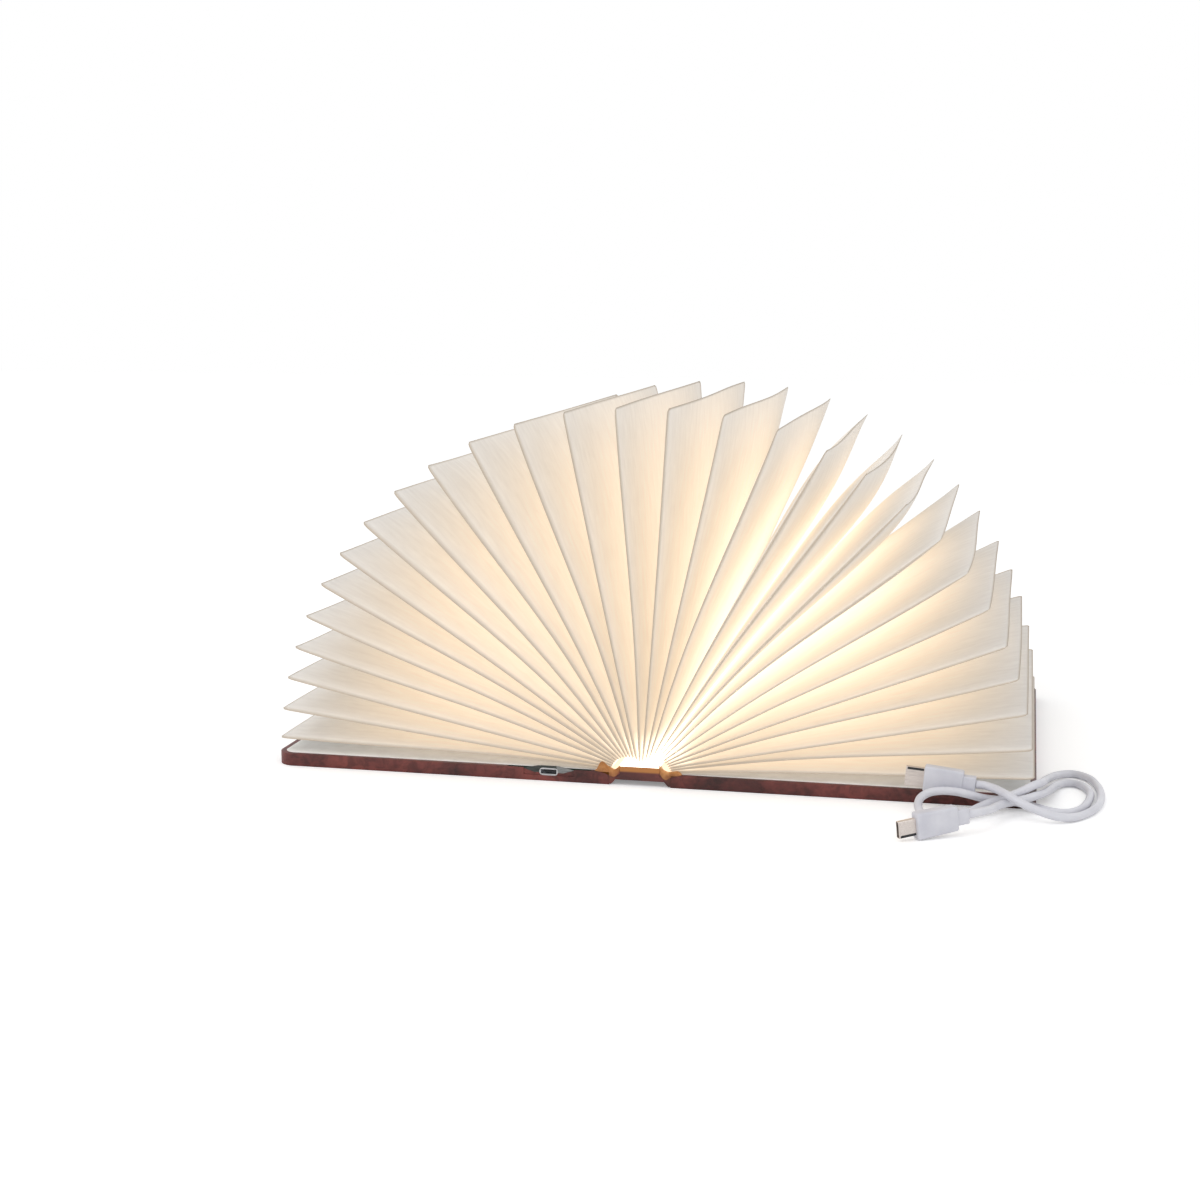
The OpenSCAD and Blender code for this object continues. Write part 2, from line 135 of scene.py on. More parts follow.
def throughPoints(points, steps):
    # a smooth line through given points
    smooth = []
    last = len(points) - 1
    for i in range(last):
        before, start, end, after = (points[max(0, min(last, i + k))] for k in (-1, 0, 1, 2))
        for step in range(steps):
            t = step / steps
            smooth.append(0.5 * (2 * start + (end - before) * t
                                 + (2 * before - 5 * start + 4 * end - after) * t * t
                                 + (3 * start - before - 3 * end + after) * t ** 3))
    return smooth + [points[last]]


def profileAlongSpine(outline, length, middle=0.0):
    # a closed outline (x, z) in metres, run along Y about middle
    bm = bmesh.new()
    corners = [bm.verts.new((p[0], middle - length / 2, p[1])) for p in outline]
    start = bm.faces.new(corners)
    moved = bmesh.ops.extrude_face_region(bm, geom=[start])
    ends = [v for v in moved["geom"] if isinstance(v, bmesh.types.BMVert)]
    bmesh.ops.translate(bm, verts=ends, vec=(0, length, 0))
    bmesh.ops.recalc_face_normals(bm, faces=bm.faces)
    return bm


def roundedBox(size, bevel, segments=3):
    bm = bmesh.new()
    bmesh.ops.create_cube(bm, size=1)
    bmesh.ops.scale(bm, verts=bm.verts, vec=size)
    bmesh.ops.bevel(bm, geom=bm.edges[:], offset=bevel, segments=segments, profile=0.5,
                    affect="EDGES", material=-1)
    return bm


def joinInto(target, part, material=0):
    for face in part.faces:
        face.material_index = material
    mesh = bpy.data.meshes.new("part")
    part.to_mesh(mesh)
    part.free()
    target.from_mesh(mesh)
    bpy.data.meshes.remove(mesh)


# ---- helpers for materials

def srgb(red, green, blue):
    parts = [c / 255 for c in (red, green, blue)]
    return tuple(((c + 0.055) / 1.055) ** 2.4 if c > 0.04045 else c / 12.92 for c in parts) + (1.0,)


def newMaterial(name, sockets):
    material = bpy.data.materials.new(name)
    material.use_nodes = True
    shader = material.node_tree.nodes["Principled BSDF"]
    for socket, value in sockets.items():
        shader.inputs[socket].default_value = value
    return material, material.node_tree, shader


def addNoise(tree, scale, detail=4, roughness=0.55, distortion=0.0, stretch=(1, 1, 1)):
    coordinates = tree.nodes.new("ShaderNodeTexCoord")
    mapping = tree.nodes.new("ShaderNodeMapping")
    mapping.inputs["Scale"].default_value = stretch
    noise = tree.nodes.new("ShaderNodeTexNoise")
    for socket, value in (("Scale", scale), ("Detail", detail), ("Roughness", roughness),
                          ("Distortion", distortion)):
        noise.inputs[socket].default_value = value
    tree.links.new(coordinates.outputs["Object"], mapping.inputs["Vector"])
    tree.links.new(mapping.outputs["Vector"], noise.inputs["Vector"])
    return noise.outputs["Fac"]


def addRamp(tree, source, stops):
    ramp = tree.nodes.new("ShaderNodeValToRGB")
    elements = ramp.color_ramp.elements
    while len(elements) < len(stops):
        elements.new(0.5)
    for element, (position, colour) in zip(elements, stops):
        element.position = position
        element.color = colour
    tree.links.new(source, ramp.inputs["Fac"])
    return ramp.outputs["Color"]


def mixColours(tree, factor, first, second, blend="MIX"):
    mix = tree.nodes.new("ShaderNodeMix")
    mix.data_type = "RGBA"
    mix.blend_type = blend
    for socket, value in (("Factor", factor), ("A", first), ("B", second)):
        target = [s for s in mix.inputs if s.name == socket and s.enabled][0]
        if isinstance(value, bpy.types.NodeSocket):
            tree.links.new(value, target)
        else:
            target.default_value = value
    return [s for s in mix.outputs if s.enabled][0]


def addBump(tree, shader, height, distance):
    bump = tree.nodes.new("ShaderNodeBump")
    bump.inputs["Distance"].default_value = distance
    tree.links.new(height, bump.inputs["Height"])
    tree.links.new(bump.outputs["Normal"], shader.inputs["Normal"])


def readAttribute(tree, name):
    attribute = tree.nodes.new("ShaderNodeAttribute")
    attribute.attribute_name = name
    return attribute.outputs["Fac"]


def mottled(name, dark, pale, scale, bumpScale, bumpDepth, roughness, more=(), stretch=(1, 1, 1)):
    # a plain finish: two tones mixed by one noise, grain from a finer one
    material, tree, shader = newMaterial(name, {"Roughness": roughness, **dict(more)})
    stops = [(0.3, srgb(*dark)), (0.7, srgb(*pale))]
    tree.links.new(addRamp(tree, addNoise(tree, scale, stretch=stretch), stops), shader.inputs["Base Color"])
    addBump(tree, shader, addNoise(tree, bumpScale, 3, stretch=stretch), bumpDepth)
    return material


# ---- materials

marbledStops = [(0.26, srgb(42, 24, 24)), (0.42, srgb(74, 36, 34)), (0.53, srgb(104, 49, 45)),
                (0.66, srgb(124, 60, 54)), (0.80, srgb(84, 41, 39))]


def makeMarbledCovering():
    material, tree, shader = newMaterial("marbledCovering", {"Roughness": 0.46, "Specular IOR Level": 0.45})
    clouds = addRamp(tree, addNoise(tree, 26, 6, 0.62, 0.5), marbledStops)
    veins = addRamp(tree, addNoise(tree, 160, 5, 0.7, 0.8),
                    [(0.38, srgb(150, 150, 150)), (0.56, srgb(255, 255, 255))])
    tree.links.new(mixColours(tree, 0.7, clouds, veins, "MULTIPLY"), shader.inputs["Base Color"])
    addBump(tree, shader, addNoise(tree, 1400, 3), 0.00006)
    return material


def makeSpineCovering():
    # the same covering, golden where the lamp's own light falls on the block's upper half
    material, tree, shader = newMaterial("spineCovering", {"Roughness": 0.5, "Emission Strength": 1.0})
    clouds = addRamp(tree, addNoise(tree, 26, 6, 0.62, 0.5), marbledStops)
    place = tree.nodes.new("ShaderNodeTexCoord")
    split = tree.nodes.new("ShaderNodeSeparateXYZ")
    height = tree.nodes.new("ShaderNodeMapRange")
    height.inputs["From Min"].default_value = 5.7 * mm
    height.inputs["From Max"].default_value = 6.5 * mm
    tree.links.new(place.outputs["Object"], split.inputs["Vector"])
    tree.links.new(split.outputs["Z"], height.inputs["Value"])
    golden = mixColours(tree, height.outputs["Result"], clouds, srgb(142, 92, 46))
    glow = mixColours(tree, height.outputs["Result"], (0, 0, 0, 1), srgb(110, 68, 26))
    tree.links.new(golden, shader.inputs["Base Color"])
    tree.links.new(glow, shader.inputs["Emission Color"])
    addBump(tree, shader, addNoise(tree, 1400, 3), 0.00006)
    return material


def makeHingeLeather():
    # dark below, golden above, where the light washes over it
    material, tree, shader = newMaterial("hingeLeather", {"Roughness": 0.55, "Emission Strength": 1.0})
    lit = readAttribute(tree, "lit")
    glare = readAttribute(tree, "glare")
    clouds = addRamp(tree, addNoise(tree, 60, 5, 0.6, 0.4), marbledStops)
    warm = addRamp(tree, addNoise(tree, 300, 4, 0.6),
                   [(0.35, srgb(112, 70, 34)), (0.5, srgb(146, 96, 50)), (0.7, srgb(188, 138, 84))])
    golden = mixColours(tree, lit, (0, 0, 0, 1), srgb(112, 70, 28))
    tree.links.new(mixColours(tree, lit, clouds, warm), shader.inputs["Base Color"])
    # painted light: the golden glow turns white on the brightest part of the upper side
    tree.links.new(mixColours(tree, glare, golden, srgb(255, 236, 208)), shader.inputs["Emission Color"])
    addBump(tree, shader, addNoise(tree, 1600, 3), 0.00008)
    return material


def makePagePaper():
    material, tree, shader = newMaterial(
        "pagePaper", {"Roughness": 0.85, "Specular IOR Level": 0.2, "Emission Strength": 1.0})
    fibres = addRamp(tree, addNoise(tree, 260, 4, 0.6, 0.2, stretch=(0.35, 1, 0.35)),
                     [(0.3, srgb(222, 216, 210)), (0.7, srgb(232, 227, 221))])
    # painted shade: darker along the cut edges and the outer fold, in colour and glow, with the cut edges' own
    # greyer tone
    rim = readAttribute(tree, "rim")
    tree.links.new(mixColours(tree, rim, fibres, srgb(190, 177, 162)), shader.inputs["Base Color"])
    glow = addRamp(tree, readAttribute(tree, "glow"),
                   [(0.0, srgb(70, 78, 84)), (0.12, srgb(104, 101, 94)), (0.25, srgb(140, 129, 113)),
                    (0.5, srgb(182, 172, 155)), (0.75, srgb(212, 204, 189)), (1.0, srgb(255, 250, 238))])
    tree.links.new(mixColours(tree, rim, glow, srgb(90, 82, 70)), shader.inputs["Emission Color"])
    addBump(tree, shader, addNoise(tree, 420, 4, 0.6), 0.00006)
    return material


def makeGlow(name, colour, strength):
    # a lit plastic, a little cloudy
    material, tree, shader = newMaterial(name, {"Roughness": 0.4, "Emission Strength": strength})
    cloud = addRamp(tree, addNoise(tree, 120, 3), [(0.3, colour), (0.7, srgb(255, 250, 238))])
    tree.links.new(cloud, shader.inputs["Base Color"])
    tree.links.new(cloud, shader.inputs["Emission Color"])
    return material


def makeBrushedMetal(name, dark, pale, roughness, stretch=(1, 14, 14)):
    return mottled(name, dark, pale, 300, 900, 0.00002, roughness, {"Metallic": 1.0}, stretch)


covering = makeMarbledCovering()
spineCovering = makeSpineCovering()
hingeLeather = makeHingeLeather()
pagePaper = makePagePaper()
litDiffuser = makeGlow("litDiffuser", srgb(255, 240, 220), 2.2)
litChips = makeGlow("litChips", srgb(255, 226, 160), 6.0)
goldPrint = mottled("goldPrint", (172, 134, 98), (212, 178, 142), 220, 900, 0.00001, 0.38, {"Metallic": 0.75})
navyPanel = mottled("navyPanel", (20, 22, 30), (34, 38, 50), 140, 1400, 0.00005, 0.42)
greyBoard = mottled("greyBoard", (128, 118, 106), (158, 148, 134), 500, 1500, 0.00008, 0.9)
# painted light: the liner paper gives off a faint cool bluish glow
linerPaper = mottled("linerPaper", (236, 232, 224), (249, 246, 240), 140, 900, 0.00005, 0.8,
                     {"Emission Color": srgb(50, 60, 72), "Emission Strength": 1.0})
whitePlastic = mottled("whitePlastic", (232, 230, 224), (244, 242, 238), 90, 900, 0.00002, 0.5)
stripFilm = mottled("stripFilm", (226, 224, 214), (240, 238, 230), 90, 700, 0.00002, 0.35)
amberFilm = mottled("amberFilm", (176, 98, 38), (206, 124, 52), 200, 800, 0.00002, 0.3)
redWire = mottled("redWire", (158, 30, 28), (182, 44, 38), 200, 900, 0.00002, 0.45)
circuitGreen = mottled("circuitGreen", (30, 88, 48), (44, 112, 62), 400, 900, 0.00003, 0.4)
blackParts = mottled("blackParts", (22, 22, 25), (36, 36, 40), 300, 1200, 0.00003, 0.5)
batteryFoil = makeBrushedMetal("batteryFoil", (168, 172, 178), (204, 208, 214), 0.42)
magnetPlate = makeBrushedMetal("magnetPlate", (192, 192, 198), (222, 222, 226), 0.18, (1, 1, 1))
socketSteel = makeBrushedMetal("socketSteel", (176, 178, 182), (214, 216, 220), 0.28)
bezelMetal = makeBrushedMetal("bezelMetal", (108, 112, 114), (160, 162, 162), 0.38)
# a darker copy of the port plate's metal: painted shade on its left taper, also used on its bridge
darkerPlateMetal = makeBrushedMetal("darkerPlateMetal", (54, 58, 58), (92, 96, 94), 0.4)
plugMetal = makeBrushedMetal("plugMetal", (206, 196, 190), (232, 224, 218), 0.4)
whiteGrip = mottled("whiteGrip", (202, 202, 211), (216, 216, 223), 120, 1800, 0.00004, 0.42)
whiteCord = mottled("whiteCord", (208, 208, 216), (222, 222, 228), 100, 1500, 0.00003, 0.38)
print("materials made")


# ---- charging lead: two plugs joined by a cord laid in two loops

lead = {"cord": 3.4, "shellLength": 7.5, "wideGrip": 16, "narrowGrip": 18, "gripWidth": 10.8,
        "gripThickness": 5.4, "neckLength": 5, "neckWidth": 6.2, "neckThickness": 4.2, "straight": 4,
        "wideTip": (112.5, -114, 13.2), "wideDip": 4.5, "wideShell": (8.2, 2.6),
        "narrowTip": (113, -165, 4.7), "narrowRise": 6, "narrowTurn": 32, "narrowShell": (6.8, 2.2),
        "shellWall": 0.3, "shellEdge": 0.5, "edgeShade": 1.0, "edgeShadeDepth": 0.12, "tongue": 0.7,
        "gripEdge": 0.9, "gripTaper": (0.04, 0.09), "neckEdge": 0.5}
widePlug = lead["shellLength"] + lead["wideGrip"] + lead["neckLength"]
narrowPlug = lead["shellLength"] + lead["narrowGrip"] + lead["neckLength"]
widePlace = Matrix.Translation(Vector(lead["wideTip"]) * mm) @ Matrix.Rotation(
    math.radians(lead["wideDip"]), 4, "Y")
narrowPlace = (Matrix.Translation(Vector(lead["narrowTip"]) * mm)
               @ Matrix.Rotation(math.radians(lead["narrowTurn"]), 4, "Z")
               @ Matrix.Rotation(math.radians(-lead["narrowRise"]), 4, "Y"))

# the cord's two loops, in millimetres; it stands up a little where its four strands pass each other
cordRoute = [
    (149.5, -117.9, 10.3), (154, -123.4, 9.6), (158.5, -126.3, 7.9), (163, -127.6, 6.3), (168, -127.8, 4.5),
    (173.5, -126.6, 2.9), (179.5, -122.8, 1.9), (185.2, -115, 1.7), (189.6, -103.5, 1.7), (191.5, -90, 1.7),
    (191.2, -75.5, 1.7), (188.9, -63, 1.7), (185.9, -56.6, 1.7), (181.6, -53.2, 1.7), (177.1, -54.4, 1.8),
    (173.4, -60.2, 2.4), (170.3, -71.5, 3.9), (168.5, -84.5, 6.3), (167.8, -97, 9.1), (166.9, -106.6, 11.1),
    (163.9, -112, 11.3), (159.5, -114, 9.3), (154.7, -114.8, 7), (150.3, -116.6, 5.8), (146.3, -119.6, 4.9),
    (142.3, -124, 3.9), (137.5, -129.8, 2.9), (131.5, -134.8, 2), (125.7, -136, 1.7), (121, -132.8, 2.2),
    (118.7, -127.6, 3.8), (119.2, -123, 6.2), (122.8, -120.6, 8.2), (128.2, -119.6, 9), (134, -119.2, 8.7),
    (139.2, -118.3, 7.5), (144.3, -115.2, 5.6), (149.5, -112, 4.4), (155, -110.6, 3.7), (160.5, -110.8, 2.9),
    (166, -112.6, 2.2), (171.5, -115.4, 1.8), (176.6, -115.9, 1.7), (181, -112.5, 1.7), (184.3, -105.5, 1.7),
    (186.5, -95, 1.7), (187.3, -84, 1.7), (185.8, -75.5, 1.7), (183.2, -70.6, 1.7), (180.2, -68.8, 1.7),
    (177.2, -69.8, 1.8), (174.9, -73.6, 2.2), (172.9, -80, 3), (171.4, -88.5, 4.1), (169.9, -98, 5.5),
    (168.3, -107, 7), (165.3, -113.4, 7.5), (161, -116.6, 6.8), (156.5, -118.6, 5.9), (152.6, -123, 6),
    (149.4, -129, 6.2), (147.4, -135.6, 6.8)]


def alongPlug(place, distance):
    return place @ Vector((distance * mm, 0, 0))


def makeCord():
    points = [alongPlug(widePlace, widePlug), alongPlug(widePlace, widePlug + lead["straight"])]
    points += [Vector(p) * mm for p in cordRoute]
    points += [alongPlug(narrowPlace, narrowPlug + lead["straight"]), alongPlug(narrowPlace, narrowPlug)]
    curve = bpy.data.curves.new("chargingCord", "CURVE")
    curve.dimensions = "3D"
    curve.bevel_depth = lead["cord"] / 2 * mm
    curve.bevel_resolution = 5
    curve.use_fill_caps = True
    smooth = throughPoints(points, 5)
    spline = curve.splines.new("POLY")
    spline.points.add(len(smooth) - 1)
    for point, place in zip(spline.points, smooth):
        point.co = (*place, 1)
    curve.materials.append(whiteCord)
    return addObject("chargingCord", curve)


def makeGrip(name, place, length):
    grip = roundedBox(Vector((length, lead["gripThickness"], lead["gripWidth"])) * mm,
                      lead["gripEdge"] * mm, 4)
    thinner, narrower = lead["gripTaper"]
    for v in grip.verts:  # the grip narrows a little towards the cord
        away = v.co.x / (length * mm) + 0.5
        v.co.z *= 1 - narrower * away
        v.co.y *= 1 - thinner * away
    bmesh.ops.translate(grip, verts=grip.verts, vec=((lead["shellLength"] + length / 2) * mm, 0, 0))
    neck = roundedBox(Vector((lead["neckLength"] + 1, lead["neckThickness"], lead["neckWidth"])) * mm,
                      lead["neckEdge"] * mm)
    bmesh.ops.translate(neck, verts=neck.verts, vec=(
        (lead["shellLength"] + length + (lead["neckLength"] - 1) / 2) * mm, 0, 0))
    joinInto(grip, neck)
    bmesh.ops.transform(grip, matrix=place, verts=grip.verts)
    return finishMesh(name, grip, [whiteGrip])


def makeShell(name, place, size, shadeUp):
    wide, thick = size
    length = lead["shellLength"]
    wall = lead["shellWall"]
    shell = bmesh.new()
    bmesh.ops.create_cube(shell, size=1)
    bmesh.ops.scale(shell, verts=shell.verts, vec=Vector((length + 1, thick, wide)) * mm)
    sideEdges = [e for e in shell.edges if abs(e.verts[0].co.x - e.verts[1].co.x) > mm]
    bmesh.ops.bevel(shell, geom=sideEdges, offset=lead["shellEdge"] * mm, segments=3, profile=0.5,
                    affect="EDGES", material=-1)
    mouth = min(shell.faces, key=lambda face: face.calc_center_median().x)
    bmesh.ops.inset_region(shell, faces=[mouth], thickness=wall * mm)
    deep = bmesh.ops.extrude_face_region(shell, geom=[mouth])
    inner = [v for v in deep["geom"] if isinstance(v, bmesh.types.BMVert)]
    bmesh.ops.delete(shell, geom=[mouth], context="FACES_ONLY")
    bmesh.ops.translate(shell, verts=inner, vec=((length - 1) * mm, 0, 0))
    bmesh.ops.translate(shell, verts=shell.verts, vec=((length + 1) / 2 * mm, 0, 0))
    bmesh.ops.recalc_face_normals(shell, faces=shell.faces)
    # painted shade: a thin dark strip along one long edge of the shell's broad face, standing for that edge's dark
    # shading
    edgeShade = roundedBox(Vector((length - 0.8, lead["edgeShadeDepth"], lead["edgeShade"])) * mm, 0.04 * mm, 1)
    bmesh.ops.translate(edgeShade, verts=edgeShade.verts, vec=Vector(
        ((length + 0.4) / 2, -thick / 2 - 0.01, shadeUp * (wide / 2 - lead["edgeShade"] / 2 - 0.1))) * mm)
    joinInto(shell, edgeShade, 1)
    tongue = roundedBox(Vector((length - 1.6, lead["tongue"], wide - 2.2)) * mm, 0.1 * mm, 1)
    bmesh.ops.translate(tongue, verts=tongue.verts, vec=((length / 2 + 0.6) * mm, 0, 0))
    joinInto(shell, tongue, 1)
    bmesh.ops.transform(shell, matrix=place, verts=shell.verts)
    return finishMesh(name, shell, [plugMetal, blackParts], smooth=False)


def makeLead():
    cord = makeCord()
    wideGrip = makeGrip("widePlugGrip", widePlace, lead["wideGrip"])
    narrowGrip = makeGrip("narrowPlugGrip", narrowPlace, lead["narrowGrip"])
    wideShell = makeShell("widePlugShell", widePlace, lead["wideShell"], 1)
    narrowShell = makeShell("narrowPlugShell", narrowPlace, lead["narrowShell"], -1)
    for piece, slot, node in ((cord, "white_cord", "cord"), (wideGrip, "white_grip", "wide_plug_grip"),
                              (narrowGrip, "white_grip", "narrow_plug_grip"),
                              (wideShell, "plug_metal", "wide_plug_shell"),
                              (narrowShell, "plug_metal", "narrow_plug_shell")):
        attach(piece, "charge_lead")
        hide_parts(node)


makeLead()


# ---- gold print on the covers and the spine

printed = {"depth": 0.05, "thin": 0.36, "line": 0.55, "bold": 0.75, "dot": 0.45, "pitch": 2.35,
           "frame": (7.6, 7.0, 6.5, 7.5), "second": 2.0, "dotted": 5.0, "inner": 20.6, "innerDots": 24.2,
           "chamfer": 8.0, "dip": 3.4, "hollow": 1.3}
coverSize = Vector((coverOut - coverIn, 2 * bookEnd)) / mm


def ribbonInto(bm, points, width, closed=False):
    # one flat line through points (u, v) in millimetres
    rings = []
    last = len(points) - 1
    for i, point in enumerate(points):
        before = points[i - 1] if closed or i > 0 else point
        after = points[(i + 1) % len(points)] if closed or i < last else point
        along = (after - before).normalized()
        segment = (after - point if after != point else point - before).normalized()
        across = Vector((-along.y, along.x)) * width / 2 / max(0.6, along.dot(segment))
        rings.append([bm.verts.new((*(point + across * way), z)) for way, z in
                      ((1, 0), (-1, 0), (-1, printed["depth"]), (1, printed["depth"]))])
    for first, second in zip(rings, rings[1:] + (rings[:1] if closed else [])):
        for k in range(4):
            bm.faces.new((first[k], second[k], second[(k + 1) % 4], first[(k + 1) % 4]))
    if not closed:
        bm.faces.new(rings[0])
        bm.faces.new(rings[-1])


def patchInto(bm, points):
    # a filled shape from its outline (u, v) in millimetres
    layers = [[bm.verts.new((*point, z)) for point in points] for z in (0, printed["depth"])]
    for layer in layers:
        bm.faces.new(layer)
    for k in range(len(points)):
        after = (k + 1) % len(points)
        bm.faces.new((layers[0][k], layers[0][after], layers[1][after], layers[1][k]))


def dotAt(bm, place, radius):
    patchInto(bm, [place + Vector((math.cos(turn), math.sin(turn))) * radius
                   for turn in (math.tau * k / 8 for k in range(8))])


def dotsAlong(bm, points, pitch, radius):
    # dots at even steps round a closed line
    lengths = [(points[(k + 1) % len(points)] - points[k]).length for k in range(len(points))]
    total = sum(lengths)
    count = round(total / pitch)
    for k in range(count):
        along = total * k / count
        part = 0
        while along > lengths[part]:
            along -= lengths[part]
            part += 1
        dotAt(bm, points[part].lerp(points[(part + 1) % len(points)], along / lengths[part]), radius)


def spiral(centre, radius, start, turns, steps=16, tail=0.22):
    # a curl that winds in from its radius to a small eye
    points = []
    for k in range(steps + 1):
        share = k / steps
        reach = radius * (1 - share * (1 - tail))
        turn = math.radians(start + 360 * turns * share)
        points.append(centre + Vector((math.cos(turn), math.sin(turn))) * reach)
    return points


def frameAt(inset):
    # a rectangle inset by each side's margin (hinge, tail, fore edge, head) and the given distance
    left, bottom, right, top = (margin + inset for margin in printed["frame"])
    return [Vector(p) for p in ((left, bottom), (coverSize.x - right, bottom),
                                (coverSize.x - right, coverSize.y - top), (left, coverSize.y - top))]


scroll = {"band": 11.4, "unit": 25, "wave": 4.3, "bigCurl": 2.5, "bigTurns": 1.45, "smallCurl": 2.0,
          "turns": 1.3, "knot": 7.6, "knotSize": 4.7, "lobe": 2.1, "lobeCurl": 1.9, "lobeCurlAt": 4.1}


def scrollUnit(length):
    # two crossing waves with curls inside their lenses and small ones outside the crossings (along, across)
    wave, big, small, turns = scroll["wave"], scroll["bigCurl"], scroll["smallCurl"], scroll["turns"]
    lines = []
    for way in (1, -1):
        lines.append([Vector((length * k / 20, way * wave * math.cos(math.tau * k / 20))) for k in range(21)])
        lines.append(spiral(Vector((length * 0.5 + way * big, way * 0.5)), big, 90 * way,
                            scroll["bigTurns"] * -way))
        lines.append(spiral(Vector((length * 0.25, way * wave)), small, -90 * way - 40, turns * way, 12))
        lines.append(spiral(Vector((length * 0.75, way * wave)), small, -90 * way + 220, -turns * way, 12))
    return lines


def cornerScroll():
    # a four-lobed knot with a curl in each lobe
    lines = [[Vector((math.cos(turn), math.sin(turn)))
              * (scroll["knotSize"] + scroll["lobe"] * math.cos(4 * turn + math.pi))
              for turn in (math.tau * k / 40 for k in range(41))]]
    for k in range(4):
        towards = math.radians(45 + 90 * k)
        lines.append(spiral(Vector((math.cos(towards), math.sin(towards))) * scroll["lobeCurlAt"],
                            scroll["lobeCurl"], 225 + 90 * k, scroll["turns"], 12))
    return lines


def scrollBand(bm):
    # the running scroll between the dotted line and the inner frame
    corners = frameAt(scroll["band"] + scroll["wave"] - 1.8)
    knot = scroll["knot"]
    for k in range(4):
        start, end = corners[k], corners[(k + 1) % 4]
        along = (end - start).normalized()
        inwards = Vector((-along.y, along.x))
        length = (end - start).length - 2 * knot
        count = round(length / scroll["unit"])
        unit = scrollUnit(length / count)
        for step in range(count):
            base = start + along * (knot + step * length / count)
            for line in unit:
                ribbonInto(bm, [base + along * q.x + inwards * q.y for q in line], printed["line"])
        for line in cornerScroll():
            ribbonInto(bm, [start + along * q.x + inwards * q.y for q in line], printed["line"])
        dotAt(bm, start, printed["dot"])


def innerFrame(inset):
    # the inner frame with stepped corners and a dip in the middle of its short sides
    left, bottom, right, top = (margin + inset for margin in printed["frame"])
    right, top = coverSize.x - right, coverSize.y - top
    chamfer = printed["chamfer"]
    middle = (left + right) / 2
    reach = (right - left) / 2 - chamfer
    points = []
    for level, inwards, way, side, other in ((bottom, 1, 1, right, top), (top, -1, -1, left, bottom)):
        for k in range(25):
            share = -1 + 2 * k / 24
            dip = printed["dip"] * (0.5 + 0.5 * math.cos(math.pi * share))
            hollow = printed["hollow"] * (1 - abs(math.sin(2 * math.pi * share)))
            points.append(Vector((middle + way * reach * share, level + inwards * (dip + hollow))))
        points += [Vector((side, level + inwards * chamfer)), Vector((side, other - inwards * chamfer))]
    return points


def petal(root, towards, length, width):
    # outline of one leaf-shaped petal
    along = Vector((math.cos(math.radians(towards)), math.sin(math.radians(towards))))
    across = Vector((-along.y, along.x))
    shape = [(0, 0), (0.3, 0.42), (0.6, 0.5), (0.85, 0.28), (1, 0), (0.85, -0.28), (0.6, -0.5), (0.3, -0.42)]
    return [root + along * a * length + across * b * width for a, b in shape]


# the curls' places out and up, sizes and turns; the petals' leans, places up, lengths and widths
rules = {"top": 64.8, "bottom": 89.0, "half": 24, "outerCurls": ((24, 1.1, 1.1, 1.1), (7.6, 2.4, 1.0, 1.2)),
         "innerCurl": (4.6, 3.1, 1.7, 1.35), "dot": 1.7,
         "petals": ((-48, 3.0, 3.6, 1.2), (48, 3.0, 3.6, 1.2), (0, 2.8, 5.6, 1.7))}


def centreRules(bm):
    # two rules with curled ends, with a small palmette above the upper and below the lower
    middle = coverSize.x / 2
    for height, way in ((coverSize.y - rules["top"], 1), (coverSize.y - rules["bottom"], -1)):
        ribbonInto(bm, [Vector((middle + end * rules["half"], height)) for end in (-1, 1)], printed["thin"])
        for side in (-1, 1):
            curls = [(*curl, -90 * way, 12) for curl in rules["outerCurls"]]
            curls.append((*rules["innerCurl"], 90 * way + 90 - 90 * side, 14))
            for out, up, size, turns, start, steps in curls:
                ribbonInto(bm, spiral(Vector((middle + side * out, height + way * up)), size, start,
                                      turns * side * way, steps), printed["thin"])
        for lean, up, size, wide in rules["petals"]:
            patchInto(bm, petal(Vector((middle, height + way * up)), way * 90 - lean, size, wide))
        dotAt(bm, Vector((middle, height + way * rules["dot"])), printed["dot"])


def placePrint(name, bm, matrix, body, materials):
    bmesh.ops.transform(bm, matrix=matrix, verts=bm.verts)
    bmesh.ops.recalc_face_normals(bm, faces=bm.faces)
    piece = finishMesh(name, bm, materials, smooth=False)
    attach(piece, body)


def printCover(side):
    way = outwards[side]
    bm = bmesh.new()
    ribbonInto(bm, frameAt(0), printed["bold"], closed=True)
    ribbonInto(bm, frameAt(printed["second"]), printed["thin"], closed=True)
    dotsAlong(bm, frameAt(printed["dotted"]), printed["pitch"], printed["dot"])
    scrollBand(bm)
    ribbonInto(bm, innerFrame(printed["inner"]), printed["line"], closed=True)
    dotsAlong(bm, innerFrame(printed["innerDots"]), printed["pitch"], printed["dot"])
    centreRules(bm)
    matrix = Matrix.Translation((way * coverIn, -bookEnd, 0)) @ Matrix.Diagonal((way * mm, mm, mm, 1))
    placePrint(side + "CoverPrint", bm, matrix, side + "_cover", [goldPrint])


spinePrint = {"half": 9.6, "panels": ((33, 81), (148, 193)), "rules": (12, 16, 103, 107, 124, 128, 204),
              "panelRules": (2.2, 1.4), "dotRows": (20, 99, 111, 120, 132, 199), "curlRows": (26, 116, 141),
              "film": 0.04, "curl": (3.4, 2.6, 1.4), "petal": (3, 6, 1.8)}


